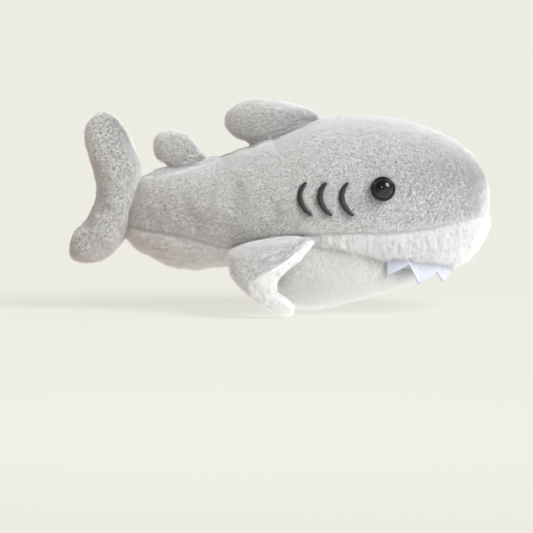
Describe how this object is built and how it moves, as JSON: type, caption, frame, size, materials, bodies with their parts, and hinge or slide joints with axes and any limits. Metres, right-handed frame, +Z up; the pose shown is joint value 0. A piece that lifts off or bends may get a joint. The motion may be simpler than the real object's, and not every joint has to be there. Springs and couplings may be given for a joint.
{
  "type": "plush shark",
  "caption": "Small stuffed plush shark with grey back, white underside, stitched gills, felt teeth, safety eyes and soft fins that flex at their seams.",
  "frame": {"origin": "on the resting surface, under the middle of the object's box", "axes": "+X towards the nose, +Z up, -Y towards the shark's right side"},
  "size_m": [0.12, 0.0604, 0.0607],
  "materials": {
    "grey_plush": "short brushed pile",
    "white_plush": "longer soft pile",
    "pale_plush": "short brushed pile",
    "felt": "pressed felt",
    "eye_plastic": "polished",
    "washer_plastic": "moulded",
    "thread": "satin stitch",
    "fibre": "loose polyester fibre"
  },
  "bodies": {
    "body": {"back_panel_left": "grey_plush", "back_panel_right": "grey_plush", "belly_panel": "white_plush", "muzzle_panel": "white_plush", "chin_panel": "pale_plush", "mouth_lining": "pale_plush", "body_stuffing": "fibre", "chin_stuffing": "fibre", "teeth_strip": "felt", "eye_left": "eye_plastic", "eye_right": "eye_plastic", "eye_washer_left": "washer_plastic", "eye_washer_right": "washer_plastic", "gill_stitches_left": "thread", "gill_stitches_right": "thread"},
    "dorsal_fin": {"dorsal_fin_left": "grey_plush", "dorsal_fin_right": "grey_plush", "dorsal_fin_stuffing": "fibre"},
    "rear_dorsal_fin": {"rear_dorsal_fin_left": "grey_plush", "rear_dorsal_fin_right": "grey_plush", "rear_dorsal_fin_stuffing": "fibre"},
    "tail_fin": {"tail_fin_left": "grey_plush", "tail_fin_right": "grey_plush", "tail_fin_stuffing": "fibre"},
    "pectoral_left": {"pectoral_left_upper": "grey_plush", "pectoral_left_lower": "white_plush", "pectoral_left_stuffing": "fibre"},
    "pectoral_right": {"pectoral_right_upper": "grey_plush", "pectoral_right_lower": "white_plush", "pectoral_right_stuffing": "fibre"}
  },
  "joints": [
    {"name": "tail_swing", "type": "hinge", "parent": "body", "child": "tail_fin", "pos_m": [-0.0418, 0, 0.028], "axis": [0, 0, 1], "range_deg": [-25, 25], "stiffness_Nm_per_rad": 0.004},
    {"name": "dorsal_flop", "type": "hinge", "parent": "body", "child": "dorsal_fin", "pos_m": [0.0006, 0, 0.0517], "axis": [0.9324, 0, 0.3615], "range_deg": [-25, 25], "stiffness_Nm_per_rad": 0.002},
    {"name": "rear_dorsal_flop", "type": "hinge", "parent": "body", "child": "rear_dorsal_fin", "pos_m": [-0.02715, 0, 0.04295], "axis": [0.9752, 0, 0.2213], "range_deg": [-25, 25], "stiffness_Nm_per_rad": 0.001},
    {"name": "pectoral_left_flap", "type": "hinge", "parent": "body", "child": "pectoral_left", "pos_m": [-0.00045, 0.01915, 0.01892], "axis": [0.9331, 0.3068, 0.1876], "range_deg": [-8, 30], "stiffness_Nm_per_rad": 0.002},
    {"name": "pectoral_right_flap", "type": "hinge", "parent": "body", "child": "pectoral_right", "pos_m": [-0.00045, -0.01915, 0.01892], "axis": [-0.9331, 0.3068, -0.1876], "range_deg": [-8, 30], "stiffness_Nm_per_rad": 0.002}
  ]
}
